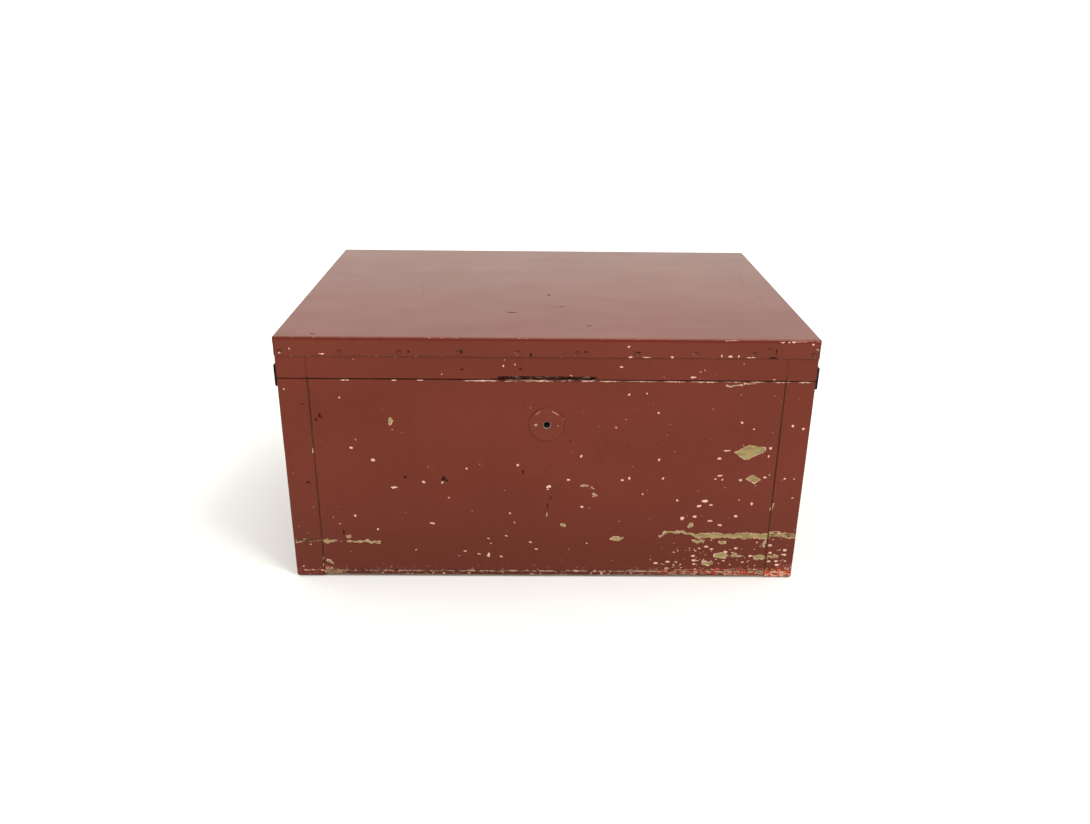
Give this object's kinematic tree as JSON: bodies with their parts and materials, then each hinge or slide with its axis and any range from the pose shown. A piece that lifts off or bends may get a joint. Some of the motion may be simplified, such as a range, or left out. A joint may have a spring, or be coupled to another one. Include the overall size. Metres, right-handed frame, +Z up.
{
  "type": "mail chest",
  "caption": "Floor-standing timber mail chest with corner posts, a hinged lid under a nailed sheet-metal cover, slotted lid stays and a keyed lock.",
  "frame": {"origin": "middle of the overall width and depth, on the floor", "axes": "+X is the chest's right seen from the front, +Y is the back, +Z is up"},
  "size_m": [0.91, 0.6512, 0.457],
  "materials": {
    "painted_timber": "worn satin red-brown paint",
    "painted_sheet": "worn semi-gloss red-brown paint",
    "bare_plywood": "unfinished",
    "bare_pine": "unfinished",
    "plain_steel": "dull zinc-plated",
    "bright_steel": "worn bright",
    "black_steel": "black, satin"
  },
  "bodies": {
    "case": {"corner_post_front_left": "painted_timber", "corner_post_front_right": "painted_timber", "corner_post_back_left": "painted_timber", "corner_post_back_right": "painted_timber", "front_panel": "painted_timber", "back_panel": "painted_timber", "left_panel": "painted_timber", "right_panel": "painted_timber", "bottom_board": "painted_timber", "top_rail_front": "bare_pine", "top_rail_back": "bare_pine", "top_rail_left": "bare_pine", "top_rail_right": "bare_pine", "bottom_rail_front": "bare_pine", "bottom_rail_back": "bare_pine", "bottom_rail_left": "bare_pine", "bottom_rail_right": "bare_pine", "floor_batten_left": "bare_pine", "floor_batten_right": "bare_pine", "panel_nails": "painted_sheet", "hinge_case_leaf_left": "plain_steel", "hinge_case_leaf_right": "plain_steel", "hinge_pin_left": "plain_steel", "hinge_pin_right": "plain_steel", "stay_guide_left": "plain_steel", "stay_guide_right": "plain_steel", "lock_case": "plain_steel", "lock_cover": "plain_steel", "lock_block": "bare_pine", "lock_screws": "plain_steel", "keyhole_bush": "bright_steel", "escutcheon": "painted_sheet", "escutcheon_screws": "painted_sheet", "case_wood_screws": "plain_steel"},
    "lid": {"lid_block_front_left": "painted_timber", "lid_block_front_right": "painted_timber", "lid_block_back_left": "painted_timber", "lid_block_back_right": "painted_timber", "lid_rail_front": "painted_timber", "lid_rail_back": "painted_timber", "lid_rail_left": "painted_timber", "lid_rail_right": "painted_timber", "lid_top_board": "bare_plywood", "lid_cover_sheet": "painted_sheet", "cover_tacks": "painted_sheet", "hinge_lid_leaf_left": "plain_steel", "hinge_lid_leaf_right": "plain_steel", "stay_pivot_left": "plain_steel", "stay_pivot_right": "plain_steel", "strike_plate": "plain_steel", "lid_guide_left": "black_steel", "lid_guide_right": "black_steel", "lid_wood_screws": "plain_steel"},
    "stay_left": {"stay_arm_left": "plain_steel"},
    "stay_right": {"stay_arm_right": "plain_steel"},
    "lock_follower": {"lock_follower": "plain_steel"},
    "lock_bolt": {"lock_bolt": "plain_steel"}
  },
  "joints": [
    {"name": "lid_hinge", "type": "hinge", "parent": "case", "child": "lid", "pos_m": [0, 0.3216, 0.384], "axis": [-1, 0, 0], "range_deg": [0, 100]},
    {"name": "stay_pivot_left", "type": "hinge", "parent": "lid", "child": "stay_left", "pos_m": [-0.41, 0.15256, 0.402], "axis": [-1, 0, 0], "range_deg": [-50, 0]},
    {"name": "stay_pivot_right", "type": "hinge", "parent": "lid", "child": "stay_right", "pos_m": [0.41, 0.15256, 0.402], "axis": [-1, 0, 0], "range_deg": [-50, 0]},
    {"name": "lock_follower_turn", "type": "hinge", "parent": "case", "child": "lock_follower", "pos_m": [0, -0.2887, 0.303], "axis": [0, 1, 0], "range_deg": [0, 60]},
    {"name": "lock_bolt_slide", "type": "slide", "parent": "case", "child": "lock_bolt", "axis": [1, 0, 0], "range_m": [0, 0.014]}
  ],
  "couplings": [
    {"joint": "stay_pivot_left", "follows": "lid_hinge", "ratio": -0.5},
    {"joint": "stay_pivot_right", "follows": "lid_hinge", "ratio": -0.5},
    {"joint": "lock_bolt_slide", "follows": "lock_follower_turn", "m_per_rad": 0.013368}
  ]
}
